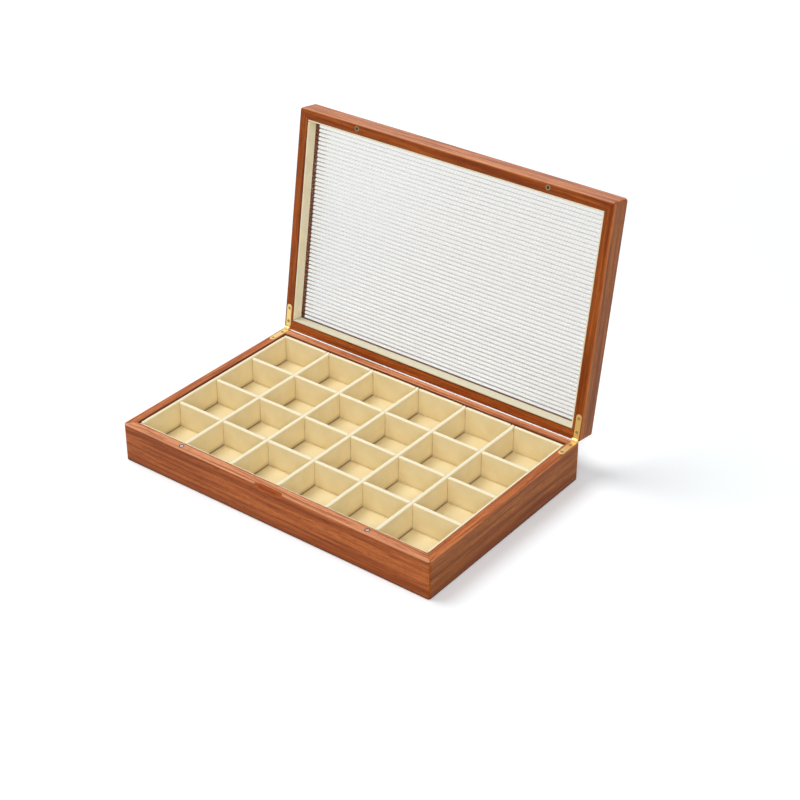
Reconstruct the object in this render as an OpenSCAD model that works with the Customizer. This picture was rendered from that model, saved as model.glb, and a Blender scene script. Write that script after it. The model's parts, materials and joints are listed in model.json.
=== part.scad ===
// Hinged wooden display box for rings: a base with a divided fabric tray and a lid with a clear ribbed panel.
// It stands open on its base. X runs along its length, the hinges are at the back (+Y) and Z is up.
// The origin is the centre of the base's underside.

/* [Box] */
// Length, left to right
box_l = 280; // [220:1:360]
// Depth, front to back
box_w = 182; // [140:1:240]
// Height of the base
base_h = 31.5; // [26:0.5:60]
// Height of the lid
lid_h = 16.5; // [15:0.5:30]
// Gap between the base and the closed lid
lid_gap = 0.5; // [0.3:0.1:1]
// Angle at which the hinge stops hold the lid open
open_angle = 98.7; // [90:0.1:110]
// Thickness of the base's walls
base_wall = 7.5; // [7:0.5:12]
// Thickness of the lid's rails
lid_wall = 8; // [7.5:0.5:12]
// Radius of the upright outer corners
corner_r = 2.5; // [1.5:0.1:5]
// Radius of the long outer edges
edge_r = 1; // [0.4:0.1:1.4]

/* [Finger notch] */
// Length of the notch in the front wall's top edge
notch_l = 26; // [16:1:60]
// How far the notch reaches into the front wall
notch_depth = 2.7; // [1:0.1:3.5]
// Radius of the notch
notch_r = 5; // [3.5:0.5:8]

/* [Bottom] */
// Thickness of the felt sheet
felt_t = 1; // [0.5:0.1:2]
// Thickness of the bottom panel
bottom_t = 5; // [3:0.5:8]
// Width of the walls' rebate for the bottom panel
rebate = 3.5; // [2:0.5:4.5]

/* [Tray] */
// Cells along the length
columns = 6; // [3:1:8]
// Cells from front to back
rows = 4; // [2:1:6]
// Thickness of the dividers
divider_t = 3; // [2:0.1:5]
// Thickness of the tray's side linings
lining_t = 2.5; // [1.5:0.1:5]
// Thickness of the tray's floor board
tray_floor_t = 3; // [2:0.1:5]
// Depth of the side linings' tops below the rim
lining_drop = 1; // [0.3:0.1:4]
// Depth of the dividers' tops below the rim
divider_drop = 1.8; // [0.5:0.1:5]
// Depth of the notches that hold the column dividers' ends
lap = 3; // [1:0.5:6]
// Radius along the tops of linings and dividers
top_r = 0.9; // [0.2:0.1:0.9]

/* [Lid panel] */
// Thickness of the lid's lining strips
strip_t = 1.3; // [0.8:0.1:3]
// Height of the lid's lining strips, from the rim to the panel
strip_h = 9; // [8.5:0.1:9.5]
// Thickness of the panel over its ribs
panel_t = 4; // [3:0.1:4.5]
// Height of the ribs
rib_h = 1; // [0.4:0.1:1.2]
// Distance from rib to rib
rib_pitch = 3.27; // [2.5:0.01:6]
// Width of the flat between two ribs
rib_valley = 0.2; // [0.1:0.05:0.5]
// Depth of the rails' groove for the panel
groove = 3; // [1:0.1:4]

/* [Hinges] */
// Length of a leaf, from the pin to its round end
leaf_l = 21; // [20:0.5:40]
// Width of a leaf
leaf_w = 4.5; // [4:0.1:5]
// Thickness of a leaf
leaf_t = 1.2; // [0.8:0.1:2]
// Radius of the knuckle
knuckle_r = 2.2; // [2:0.1:2.6]
// Width of the lid's middle knuckle
mid_knuckle_w = 1.5; // [1:0.1:2]
// Radius of the pin
pin_r = 0.8; // [0.5:0.05:1.2]
// Distance of the pin's centre in from the back face
pin_inset = 0.2; // [0.2:0.1:1]
// Distance from the pin to the nearer screw
near_screw = 6.5; // [6:0.5:9]
// Distance from the pin to the farther screw
far_screw = 17.5; // [12:0.5:18]
// Radius of a screw's shank
screw_r = 0.65; // [0.4:0.05:0.8]
// Radius of a screw's head
screw_head_r = 1.3; // [1:0.05:1.6]
// Length of a screw
screw_l = 6; // [4:0.5:8]

/* [Magnets] */
// Radius of a magnet
magnet_r = 2; // [1.5:0.1:3]
// Thickness of a magnet
magnet_t = 2.5; // [1:0.1:5]
// Distance of a magnet from the middle
magnet_x = 85; // [20:1:90]

/* [Fits] */
// Clearance round what is let into the wood
fit_gap = 0.1; // [0.05:0.05:0.3]
// Clearance round the tray and the panel's edge
loose_gap = 0.2; // [0.1:0.05:0.4]
// Clearance of a glued face
glue_gap = 0.05; // [0.02:0.01:0.1]
// Clearance round the pin in the base's knuckles
pin_press_gap = 0.02; // [0.01:0.01:0.04]
// Clearance round the pin in the lid's knuckle
pin_run_gap = 0.05; // [0.03:0.01:0.08]
// Clearance beside and round the turning knuckles
swing_gap = 0.2; // [0.1:0.05:0.3]

/* [Hidden] */
$fn = 48;
far = 20; // reach of a cutter past the wood
wood = [0.66, 0.38, 0.22];
wood_top = [0.72, 0.43, 0.28];
cream = [0.92, 0.85, 0.66];
cream_top = [0.97, 0.93, 0.80];
brass = [0.85, 0.68, 0.35];
steel = [0.72, 0.72, 0.72];

rebate_l = box_l - 2 * (base_wall - rebate);
rebate_w = box_w - 2 * (base_wall - rebate);
tray_x = box_l / 2 - base_wall - loose_gap;
tray_y = box_w / 2 - base_wall - loose_gap;
tray_floor_z = felt_t + bottom_t;
cell_floor_z = tray_floor_z + tray_floor_t;
lining_h = base_h - lining_drop - cell_floor_z;
divider_h = base_h - divider_drop - cell_floor_z;
lap_z = base_h - divider_drop - lap;
cells_x = tray_x - lining_t;
cells_y = tray_y - lining_t;
cell_l = (2 * cells_x - (columns - 1) * divider_t) / columns;
cell_w = (2 * cells_y - (rows - 1) * divider_t) / rows;

lid_z = base_h + lid_gap;
strip_x = box_l / 2 - lid_wall - glue_gap;
strip_y = box_w / 2 - lid_wall - glue_gap;
groove_l = box_l - 2 * (lid_wall - groove);
groove_w = box_w - 2 * (lid_wall - groove);
panel_l = groove_l - 2 * loose_gap;
panel_w = groove_w - 2 * loose_gap;
rib_count = floor(panel_w / rib_pitch);
rib_w = rib_pitch - rib_valley;
rib_r = (rib_w * rib_w / 4 + rib_h * rib_h) / (2 * rib_h);

pin_x = box_l / 2 - base_wall / 2;
pin_y = box_w / 2 - pin_inset;
pin_z = base_h + lid_gap / 2;
heel_reach = knuckle_r * sqrt(2);
head_h = screw_head_r - screw_r;
magnet_y = -box_w / 2 + base_wall / 2;

SIDES = ["front", "back", "left", "right"];

// Rectangle with all four corners rounded
module soft_square(w, h, r) {
    translate([r, 0])
        square([w - 2 * r, h]);
    translate([0, r])
        square([w, h - 2 * r]);
    for (x = [r, w - r], y = [r, h - r])
        translate([x, y])
            circle(r);
}

// Upright rectangle, centred, with only its top corners rounded
module soft_top(w, h, r) {
    intersection() {
        translate([-w / 2, -h])
            soft_square(w, 2 * h, r);
        translate([-w / 2, 0])
            square([w, h]);
    }
}

// Block of the box's outline with rounded upright corners and rounded top and bottom edges
module box_block(h) {
    rotate([90, 0, 90])
        linear_extrude(box_l - 2 * corner_r, center = true)
            translate([-box_w / 2, 0])
                soft_square(box_w, h, edge_r);
    rotate([90, 0, 0])
        linear_extrude(box_w - 2 * corner_r, center = true)
            translate([-box_l / 2, 0])
                soft_square(box_l, h, edge_r);
    for (x = [-1, 1], y = [-1, 1])
        translate([x * (box_l / 2 - corner_r), y * (box_w / 2 - corner_r), 0])
            rotate_extrude()
                intersection() {
                    translate([-corner_r, 0])
                        soft_square(2 * corner_r, h, edge_r);
                    square([corner_r, h]);
                }
}

// Outline between two mitres of a frame member on one side of the box
module mitred_outline(side, wall) {
    x = box_l / 2;
    y = box_w / 2;
    long = side == "front" || side == "back";
    turn = side == "front" || side == "left" ? -1 : 1;
    polygon(long
        ? [[-x - far, turn * (y + far)], [x + far, turn * (y + far)],
           [x - wall, turn * (y - wall)], [-x + wall, turn * (y - wall)]]
        : [[turn * (x + far), -y - far], [turn * (x + far), y + far],
           [turn * (x - wall), y - wall], [turn * (x - wall), -y + wall]]);
}

// One member of a mitred frame of height h, less what the children cut away
module frame_member(side, wall, h) {
    difference() {
        intersection() {
            box_block(h);
            linear_extrude(h)
                mitred_outline(side, wall);
        }
        children();
    }
}

// Turns lid pieces from the closed pose to the open one, about the hinge pins
module opened() {
    translate([0, pin_y, pin_z])
        rotate([-open_angle, 0, 0])
            translate([0, -pin_y, -pin_z])
                children();
}

// Places a hinge piece, drawn with the pin's centre at the origin: side is -1 on the left, 1 on the right
module at_hinge(side) {
    translate([side * pin_x, pin_y, pin_z])
        children();
}

// Outline of a leaf seen from above, grown by gap
module leaf_outline(gap = 0) {
    w = leaf_w + 2 * gap;
    end_y = -leaf_l + leaf_w / 2;
    translate([-w / 2, end_y])
        square([w, -end_y]);
    translate([0, end_y])
        circle(w / 2);
}

// Flat plate of a leaf under the plane of its wood, with its countersunk holes
module leaf_plate() {
    difference() {
        translate([0, 0, -lid_gap / 2 - leaf_t])
            linear_extrude(leaf_t)
                leaf_outline();
        for (y = [near_screw, far_screw])
            translate([0, -y, -lid_gap / 2])
                screw_hole();
    }
}

module screw_hole() {
    translate([0, 0, -leaf_t - far / 2])
        cylinder(r = screw_r + glue_gap, h = far);
    translate([0, 0, -head_h - glue_gap])
        cylinder(r1 = screw_r + glue_gap, r2 = screw_head_r + 2 * glue_gap, h = head_h + glue_gap);
    cylinder(r = screw_head_r + 2 * glue_gap, h = far);
}

// Stretch of knuckle along the pin, centred at x
module barrel(x, w, r) {
    translate([x, 0, 0])
        rotate([0, 90, 0])
            cylinder(r = r, h = w, center = true);
}

// Cut in the wood for one leaf and the turning knuckle; the wood lies below the leaf
module hinge_cut(reach) {
    translate([0, 0, -lid_gap / 2 - leaf_t])
        linear_extrude(far)
            leaf_outline(fit_gap);
    barrel(0, leaf_w + 2 * fit_gap, reach + swing_gap);
    for (y = [near_screw, far_screw])
        translate([0, -y, -lid_gap / 2 - screw_l - 2 * glue_gap])
            cylinder(r = screw_r + glue_gap, h = screw_l);
}

module base_hinge_cuts() {
    for (side = [-1, 1])
        at_hinge(side)
            hinge_cut(heel_reach);
}

module lid_hinge_cuts() {
    for (side = [-1, 1])
        at_hinge(side)
            mirror([0, 0, 1])
                hinge_cut(knuckle_r);
}

module bottom_rebate() {
    translate([-rebate_l / 2, -rebate_w / 2, -far])
        cube([rebate_l, rebate_w, far + tray_floor_z]);
}

// Scoop with round ends, cut along the wall's top outer edge
module finger_notch() {
    straight = notch_l - 2 * sqrt(notch_r * notch_r - pow(notch_r - notch_depth, 2));
    translate([0, -box_w / 2 + notch_depth - notch_r, base_h])
        rotate([0, 90, 0])
            rotate_extrude()
                intersection() {
                    union() {
                        square([2 * notch_r, straight], center = true);
                        for (end = [-1, 1])
                            translate([0, end * straight / 2])
                                circle(notch_r);
                    }
                    translate([0, -notch_l])
                        square([notch_r, 2 * notch_l]);
                }
}

module base_magnet_pockets() {
    for (x = [-magnet_x, magnet_x])
        translate([x, magnet_y, base_h - magnet_t - fit_gap])
            cylinder(r = magnet_r + glue_gap, h = far);
}

module lid_magnet_pockets() {
    for (x = [-magnet_x, magnet_x])
        translate([x, magnet_y, lid_z + magnet_t + fit_gap - far])
            cylinder(r = magnet_r + glue_gap, h = far);
}

module panel_groove() {
    translate([-groove_l / 2, -groove_w / 2, lid_z + strip_h])
        cube([groove_l, groove_w, panel_t + 2 * glue_gap]);
}

module base_wall_part(side) {
    color(wood)
        frame_member(side, base_wall, base_h) {
            bottom_rebate();
            children();
        }
}

module base_front_wall() {
    base_wall_part("front") {
        finger_notch();
        base_magnet_pockets();
    }
}

module base_back_wall() {
    base_wall_part("back")
        base_hinge_cuts();
}

module base_left_wall() {
    base_wall_part("left")
        base_hinge_cuts();
}

module base_right_wall() {
    base_wall_part("right")
        base_hinge_cuts();
}

// Sheet that fills the walls' rebate with a little clearance
module bottom_sheet(z, t) {
    translate([-rebate_l / 2 + loose_gap, -rebate_w / 2 + loose_gap, z])
        cube([rebate_l - 2 * loose_gap, rebate_w - 2 * loose_gap, t]);
}

module base_bottom_panel() {
    color(wood_top)
        bottom_sheet(felt_t, bottom_t);
}

module base_felt() {
    color("saddlebrown")
        bottom_sheet(0, felt_t);
}

module tray_floor() {
    color(cream)
        translate([-tray_x, -tray_y, tray_floor_z])
            cube([2 * tray_x, 2 * tray_y, tray_floor_t]);
}

// Upright board of the tray along X, centred, standing on the cell floor
module board_along_x(l, t, h) {
    translate([0, 0, cell_floor_z])
        rotate([90, 0, 90])
            linear_extrude(l, center = true)
                soft_top(t, h, top_r);
}

// The same along Y
module board_along_y(l, t, h) {
    rotate([0, 0, 90])
        board_along_x(l, t, h);
}

// Front or back lining, notched from above for the column dividers' ends
module tray_long_lining(side) {
    notch_w = divider_t + 2 * fit_gap;
    lining_y = side * (tray_y - lining_t / 2);
    color(cream)
        difference() {
            translate([0, lining_y, 0])
                board_along_x(2 * tray_x, lining_t, lining_h);
            for (i = [1:columns - 1])
                translate([column_x(i) - notch_w / 2, lining_y - lining_t, lap_z - fit_gap])
                    cube([notch_w, 2 * lining_t, far]);
        }
}

module tray_short_lining(side) {
    color(cream)
        translate([side * (tray_x - lining_t / 2), 0, 0])
            board_along_y(2 * (cells_y - glue_gap), lining_t, lining_h);
}

function column_x(i) = -cells_x + i * (cell_l + divider_t) - divider_t / 2;
function row_y(i) = -cells_y + i * (cell_w + divider_t) - divider_t / 2;

// Divider from front to back, slotted from below where the rows cross, with its ends over the linings
module column_divider(i) {
    slot_w = divider_t + 2 * fit_gap;
    color(cream_top)
        difference() {
            translate([column_x(i), 0, 0])
                board_along_y(2 * (tray_y - glue_gap), divider_t, divider_h);
            for (j = [1:rows - 1])
                translate([column_x(i) - divider_t, row_y(j) - slot_w / 2, cell_floor_z - divider_h / 2])
                    cube([2 * divider_t, slot_w, divider_h + fit_gap]);
            for (side = [0, 1])
                mirror([0, side, 0])
                    translate([column_x(i) - divider_t, cells_y - glue_gap, lap_z - 2 * far])
                        cube([2 * divider_t, far, 2 * far]);
        }
}

// Divider from left to right, slotted from above where the columns cross
module row_divider(j) {
    slot_w = divider_t + 2 * fit_gap;
    color(cream_top)
        difference() {
            translate([0, row_y(j), 0])
                board_along_x(2 * (cells_x - glue_gap), divider_t, divider_h);
            for (i = [1:columns - 1])
                translate([column_x(i) - slot_w / 2, row_y(j) - divider_t, cell_floor_z + divider_h / 2 - fit_gap])
                    cube([slot_w, 2 * divider_t, divider_h]);
        }
}

module lid_rail_part(side) {
    color(wood)
        opened()
            translate([0, 0, lid_z])
                frame_member(side, lid_wall, lid_h)
                    translate([0, 0, -lid_z]) {
                        panel_groove();
                        children();
                    }
}

module lid_front_rail() {
    lid_rail_part("front")
        lid_magnet_pockets();
}

module lid_back_rail() {
    lid_rail_part("back")
        lid_hinge_cuts();
}

module lid_left_rail() {
    lid_rail_part("left")
        lid_hinge_cuts();
}

module lid_right_rail() {
    lid_rail_part("right")
        lid_hinge_cuts();
}

// Clear panel, flat inside, with its ribs outside and along X
module lid_ribbed_panel() {
    color([0.93, 0.95, 0.95, 0.5])
        opened()
            translate([0, 0, lid_z + strip_h + glue_gap])
                rotate([90, 0, 90])
                    linear_extrude(panel_l, center = true)
                        panel_section();
}

module panel_section() {
    translate([-panel_w / 2, 0])
        square([panel_w, panel_t - rib_h]);
    for (i = [0:rib_count - 1])
        translate([(i - (rib_count - 1) / 2) * rib_pitch, panel_t - rib_r])
            intersection() {
                circle(rib_r);
                translate([-rib_w, rib_r - 2 * rib_h])
                    square([2 * rib_w, 2 * rib_h]);
            }
}

module lid_long_lining(side) {
    color(cream)
        opened()
            translate([-strip_x, side * (strip_y - strip_t / 2) - strip_t / 2, lid_z])
                cube([2 * strip_x, strip_t, strip_h - glue_gap]);
}

module lid_short_lining(side) {
    color(cream)
        opened()
            translate([side * (strip_x - strip_t / 2) - strip_t / 2, -strip_y + strip_t + glue_gap, lid_z])
                cube([strip_t, 2 * (strip_y - strip_t - glue_gap), strip_h - glue_gap]);
}

module base_magnet(side) {
    color(steel)
        translate([side * magnet_x, magnet_y, base_h - magnet_t - glue_gap])
            cylinder(r = magnet_r, h = magnet_t);
}

module lid_magnet(side) {
    color(steel)
        opened()
            translate([side * magnet_x, magnet_y, lid_z + glue_gap])
                cylinder(r = magnet_r, h = magnet_t);
}

// Base leaf: plate and outer knuckles; the plate's end between them is the stop for the lid's heel
module base_leaf(side) {
    outer_w = (leaf_w - mid_knuckle_w) / 2 - swing_gap / 2;
    middle_w = mid_knuckle_w + swing_gap;
    color(brass)
        at_hinge(side)
            difference() {
                union() {
                    leaf_plate();
                    for (x = [-1, 1])
                        barrel(x * (leaf_w - outer_w) / 2, outer_w, knuckle_r);
                }
                translate([-middle_w / 2, -knuckle_r - glue_gap, -far / 2])
                    cube([middle_w, far, far]);
                barrel(0, 2 * leaf_w, pin_r + pin_press_gap);
            }
}

// Lid leaf: plate, middle knuckle and the square heel that meets the base leaf when the lid is open
module lid_leaf(side) {
    color(brass)
        opened()
            at_hinge(side)
                difference() {
                    union() {
                        difference() {
                            mirror([0, 0, 1])
                                leaf_plate();
                            for (x = [-1, 1])
                                translate([x * (leaf_w + mid_knuckle_w), far, 0] / 2)
                                    translate([0, -knuckle_r - swing_gap, 0])
                                        cube([leaf_w, far, far], center = true);
                        }
                        barrel(0, mid_knuckle_w, knuckle_r);
                        rotate([open_angle, 0, 0])
                            translate([-mid_knuckle_w / 2, -knuckle_r, -knuckle_r])
                                cube([mid_knuckle_w, knuckle_r, knuckle_r]);
                    }
                    barrel(0, 2 * leaf_w, pin_r + pin_run_gap);
                }
}

module hinge_pin(side) {
    color(brass)
        at_hinge(side)
            barrel(0, leaf_w, pin_r);
}

// Countersunk screw with a cross recess, its head's top at the origin
module screw() {
    recess_w = screw_head_r / 3;
    recess_l = screw_head_r * 1.2;
    difference() {
        union() {
            translate([0, 0, -head_h])
                cylinder(r1 = screw_r, r2 = screw_head_r, h = head_h);
            translate([0, 0, -screw_l])
                cylinder(r = screw_r, h = screw_l);
        }
        for (a = [0, 90])
            rotate([0, 0, a])
                translate([-recess_l / 2, -recess_w / 2, -head_h * 0.7])
                    cube([recess_l, recess_w, head_h]);
    }
}

// The screws of both hinges' leaves on one side of the gap
module leaf_screws() {
    for (side = [-1, 1], y = [near_screw, far_screw])
        at_hinge(side)
            translate([0, -y, -lid_gap / 2 - glue_gap])
                screw();
}

module base_hinge_screws() {
    color(brass)
        leaf_screws();
}

module lid_hinge_screws() {
    color(brass)
        opened()
            translate([0, 0, 2 * pin_z])
                mirror([0, 0, 1])
                    leaf_screws();
}

base_front_wall();
base_back_wall();
base_left_wall();
base_right_wall();
base_bottom_panel();
base_felt();
tray_floor();
tray_long_lining(-1);  // tray_front_lining
tray_long_lining(1);  // tray_back_lining
tray_short_lining(-1);  // tray_left_lining
tray_short_lining(1);  // tray_right_lining
for (i = [1:columns - 1])
    column_divider(i);
for (j = [1:rows - 1])
    row_divider(j);
lid_front_rail();
lid_back_rail();
lid_left_rail();
lid_right_rail();
lid_ribbed_panel();
lid_long_lining(-1);  // lid_front_lining
lid_long_lining(1);  // lid_back_lining
lid_short_lining(-1);  // lid_left_lining
lid_short_lining(1);  // lid_right_lining
base_magnet(-1);  // base_magnet_left
base_magnet(1);  // base_magnet_right
lid_magnet(-1);  // lid_magnet_left
lid_magnet(1);  // lid_magnet_right
base_leaf(-1);  // hinge_left_base_leaf
base_leaf(1);  // hinge_right_base_leaf
lid_leaf(-1);  // hinge_left_lid_leaf
lid_leaf(1);  // hinge_right_lid_leaf
hinge_pin(-1);  // hinge_left_pin
hinge_pin(1);  // hinge_right_pin
base_hinge_screws();
lid_hinge_screws();
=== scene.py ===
"""Ring display box: its finishes and fabric pieces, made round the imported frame."""

import json
import math

import bmesh
import bpy
from bpy.props import FloatProperty, FloatVectorProperty, PointerProperty
from bpy.types import Operator, Panel, PropertyGroup
from mathutils import Euler, Matrix, Vector, noise


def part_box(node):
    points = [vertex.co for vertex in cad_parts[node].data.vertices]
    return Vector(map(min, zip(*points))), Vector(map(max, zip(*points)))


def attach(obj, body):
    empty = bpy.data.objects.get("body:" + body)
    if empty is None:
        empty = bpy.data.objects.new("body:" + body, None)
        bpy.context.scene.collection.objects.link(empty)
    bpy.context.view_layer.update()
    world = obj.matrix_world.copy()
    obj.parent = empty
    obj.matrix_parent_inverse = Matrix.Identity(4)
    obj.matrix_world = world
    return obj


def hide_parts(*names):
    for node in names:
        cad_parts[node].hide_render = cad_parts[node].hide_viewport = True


bl_info = {
    "name": "Ring display box",
    "version": (1, 0, 0),
    "blender": (4, 5, 0),
    "location": "3D View > Sidebar > Ring Box",
    "description": "Stained wood, cream fabric, brass and a clear ribbed panel for a hinged ring box",
    "category": "Object",
}

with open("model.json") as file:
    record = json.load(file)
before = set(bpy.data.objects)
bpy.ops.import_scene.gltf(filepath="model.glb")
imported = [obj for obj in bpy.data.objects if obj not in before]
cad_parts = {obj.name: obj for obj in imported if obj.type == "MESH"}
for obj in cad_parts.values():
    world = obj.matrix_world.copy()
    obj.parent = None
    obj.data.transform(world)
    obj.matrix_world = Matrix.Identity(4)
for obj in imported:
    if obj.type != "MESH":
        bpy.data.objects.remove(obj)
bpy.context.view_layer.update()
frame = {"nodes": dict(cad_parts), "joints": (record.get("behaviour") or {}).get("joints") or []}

SIDES = ("front", "back", "left", "right")
HINGE = frame["joints"][0]
PIN = Vector(HINGE["pos_m"])
OPEN_ANGLE = math.radians(max(HINGE["range_deg"]))
OPENED = Matrix.Translation(PIN) @ Matrix.Rotation(-OPEN_ANGLE, 4, "X") @ Matrix.Translation(-PIN)


def names_with(start):
    """The CAD nodes whose names start so, in order."""
    return sorted(n for n in frame["nodes"] if n.startswith(start))


def closed_box(node):
    """Lowest and highest corner of a lid node when the lid is shut."""
    shut = OPENED.inverted()
    points = [shut @ v.co for v in frame["nodes"][node].data.vertices]
    low = Vector([min(p[i] for p in points) for i in range(3)])
    high = Vector([max(p[i] for p in points) for i in range(3)])
    return low, high


def rgb(red, green, blue):
    """Scene colour of a screen colour whose channels run from 0 to 255."""
    def straight(channel):
        c = channel / 255
        return c / 12.92 if c <= 0.04045 else ((c + 0.055) / 1.055) ** 2.4
    return (straight(red), straight(green), straight(blue))


# Places in the box, from the frame
BASE_WALLS = {side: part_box(f"base_{side}_wall") for side in SIDES}
LID_RAILS = {side: closed_box(f"lid_{side}_rail") for side in SIDES}
BOX_X = BASE_WALLS["right"][1].x
BOX_Y = BASE_WALLS["back"][1].y
RIM_Z = BASE_WALLS["front"][1].z
FOOT_Z = BASE_WALLS["front"][0].z
INNER_X = BASE_WALLS["right"][0].x
INNER_Y = BASE_WALLS["back"][0].y
MITRE_OFFSET = BOX_X - BOX_Y
LID_Z = min(low.z for low, _high in LID_RAILS.values())
LID_TOP = max(high.z for _low, high in LID_RAILS.values())
LID_INNER_X = LID_RAILS["right"][0].x
LID_INNER_Y = LID_RAILS["back"][0].y
TRAY_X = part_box("tray_right_lining")[0].x
TRAY_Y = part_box("tray_back_lining")[0].y
COLUMNS = names_with("column_divider_")
ROWS = names_with("row_divider_")
COLUMN_XS = [(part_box(n)[0].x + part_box(n)[1].x) / 2 for n in COLUMNS]
ROW_YS = [(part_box(n)[0].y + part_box(n)[1].y) / 2 for n in ROWS]
DIVIDER_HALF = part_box(COLUMNS[0])[1].x - COLUMN_XS[0]

# Patterns in the finishes: the noise's values at a mask's two ends, and how strong the mask is at each
MASKS = {
    "figure": (0.35, 0.65, 0.25, 0.75),
    "dark_streak": (0.5, 0.66, 0.0, 0.75),
    "light_streak": (0.34, 0.48, 0.55, 0.0),
    "dark_fibre": (0.5, 0.66, 0.0, 0.6),
    "pore": (0.6, 0.7, 0.0, 0.5),
    "pale_streak": (0.46, 0.62, 1.0, 0.35),
    "pale_fibre": (0.46, 0.64, 1.0, 0.45),
    "fabric_patch": (0.35, 0.7, 0.0, 0.55),
    "fabric_nap": (0.45, 0.75, 0.0, 0.22),
    "felt_fibre": (0.35, 0.65, 0.0, 1.0),
    "felt_clump": (0.4, 0.7, 0.0, 0.35),
    "tarnish": (0.52, 0.8, 0.0, 0.5),
}
NOISE_RANGE = (0.3, 0.7)
WHITE = (1, 1, 1, 1)

# Wood grain: how long each mark is for its width, how far the grain drifts, its step from piece to piece,
# the share of the main colour, and what the fibres add to the varnish's roughness
FIGURE_LENGTH = 26
STREAK_LENGTH = 36
FIBRE_LENGTH = 50
PORE_LENGTH = 22
DRIFT_SCALE = (7, 22, 22)
DRIFT = 0.008
GRAIN_STEP = Vector((0.37, 0.11, 0.23))
MIDDLE_SHARE = 0.4
VARNISH_SPREAD = (0.05, -0.04)

# Marks on the wood, many of them painted light and shade: the part of a line that has its full colour,
# where a mark starts and ends beside an edge, and how strong it is
LINE_CORE = 0.4
EDGE_CORE = 0.3
MITRE_SHARE = 0.62
RIM_REACH = 0.0012
RIM_FULL = 0.0003
SIDE_END = 0.0006
FOOT_SHADE_REACH = 0.014
FOOT_SHADOW_LINE_SHARE = 0.8
INNER_EDGE = (0.0002, 0.0007)
OUTER_EDGE = (0.0002, 0.0006)
MATING_EDGE = (0.0001, 0.0005)
RIM_LIGHT_SHARES = {"front": 1.0, "back": 1.25, "left": 0.18, "right": 0.18}
EDGE_WEAR_AND_HIGHLIGHT_SHARES = {"front": 1.0, "back": 1.0, "left": 1.0, "right": 0.3}
MATING_SHADE_SHARES = {"front": 1.0, "back": 0.7, "left": 1.0, "right": 1.0}
LID_FACE_LIGHT = 0.7
LID_RIGHT_EDGE_WEAR_AND_HIGHLIGHT = 0.2
LID_PAINTED_DARK_EDGE = 0.85
LID_TOP_EDGE = 0.7
BASE_INNER_SHADE = 0.8
LID_INNER_SHADE = 0.7

# Fabric: the share of its weave, and the part of a top's rounding over which painted light turns it pale
WEAVE_SHARE = 0.25
TOP_START, TOP_END = 1.3, 0.4

# Metal: its brushing and tarnish, and the core of a magnet's face
BRUSHED_SCALE = (9000, 700, 9000)
BRUSHED_DEPTH = 0.000004
BRASS_SPREAD = (-0.05, 0.08)
TARNISHED = 0.72
SCREWS_ROUGHER = 0.1
BASE_MAGNET_CORE = 0.66
LID_MAGNET_CORE = 0.62
MAGNET_SOFT = 0.08
MAGNET_ROUGHNESS = (0.22, 0.4)

# Panel: the part of a painted shade line's width over which it fades
RIB_LINE = (0.3, 0.8)

# Fabric boards: how finely they are built up, how their ends and feet lie, and how much painted shade lies
# in their folds
EDGE_STEPS = 5
FACE_STEPS = 7
END_STEPS = 3
MESH_STEP = 0.004
LARGEST_ROUNDING = 0.98
SEAM_HALF = 0.0006
END_DROP = 0.7
LAP_DROP = 0.6
END_CREASE_SHADE = 0.8
COLUMN_FOOT_SHADE = 0.8
ROW_FOOT_SHADE = 0.12
STRIP_ROUND = 0.0003
SLOT_PLAY = 0.0001
END_REACH = 0.001
LAP_STARTS = ((0.00005, 0.5), (0.0007, 1.0))  # distance past the lining's face, and share of the lift
SAG_AT_LEFT = 0.4
RIPPLES_PER_METRE = 95
FINE_RIPPLE = (2.7, 0.5)  # times finer than the main ripple, and share of its height
TOP_RIPPLE = (0.6, 0.8)  # the same for a board's top
TOP_RIPPLE_FROM = 0.9
SEED_STEP = (7.3, 3.1)
TOP_SEED = 5
LINING_SEED, COLUMN_SEED, ROW_SEED, STRIP_SEED = 11, 21, 31, 41

# Tray floor: its grid beside the dividers, how it dips there and swells in the cells, and the painted
# shade in its folds
GRID_NEAR = (0, 0.0004, 0.001, 0.002, 0.0035)
SWELL_REACH = 0.0016
COLUMN_DIP = 0.0003
ROW_DIP = 0.0001
COLUMN_CREASE_SHADE = 0.6
ROW_CREASE_SHADE = 0.1
FLOOR_WAVE = 0.00008
WAVES_PER_METRE = 140
FLOOR_SLICE = 4.0

# Underside: the felt sheet's grid, cut corners and unevenness, and the bottom board's grain
FELT_COLUMNS, FELT_ROWS = 56, 36
FELT_CUT = 0.0012
FELT_DENT = 0.00012
DENTS_PER_METRE = 60
FELT_SLICE = 2.0
BOARD_SCALE = (12, 500, 500)
BOARD_PALER = 1.2

# Stage: its lamps, and the distances from the middle between which the floor's own light grows
KEY_LAMP = {"size": 1.43, "place": (-0.99, -0.25, 2.28)}
FILL_LAMP = {"size": 2.0, "place": (1.5, -1.8, 1.6)}
GLOW_START, GLOW_END = 0.35, 2.2
BOUNCE = (0.6, 0.6, 0.6, 1)
FLOOR_DROP = 0.0001


def setting(kind, **limits):
    """Function that makes a property of one kind from its name, its description and its default."""
    def make(name, description, default):
        return kind(name=name, description=description, default=default, **limits)
    return make


colour_property = setting(FloatVectorProperty, size=3, min=0, max=1, subtype="COLOR")
place_property = setting(FloatVectorProperty, size=3, subtype="TRANSLATION", unit="LENGTH")
length_property = setting(FloatProperty, min=0, soft_max=0.1, precision=5, unit="LENGTH")
angle_property = setting(FloatProperty, subtype="ANGLE")
share_property = setting(FloatProperty, min=0, max=1, subtype="FACTOR")
light_property = setting(FloatProperty, min=0)


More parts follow.
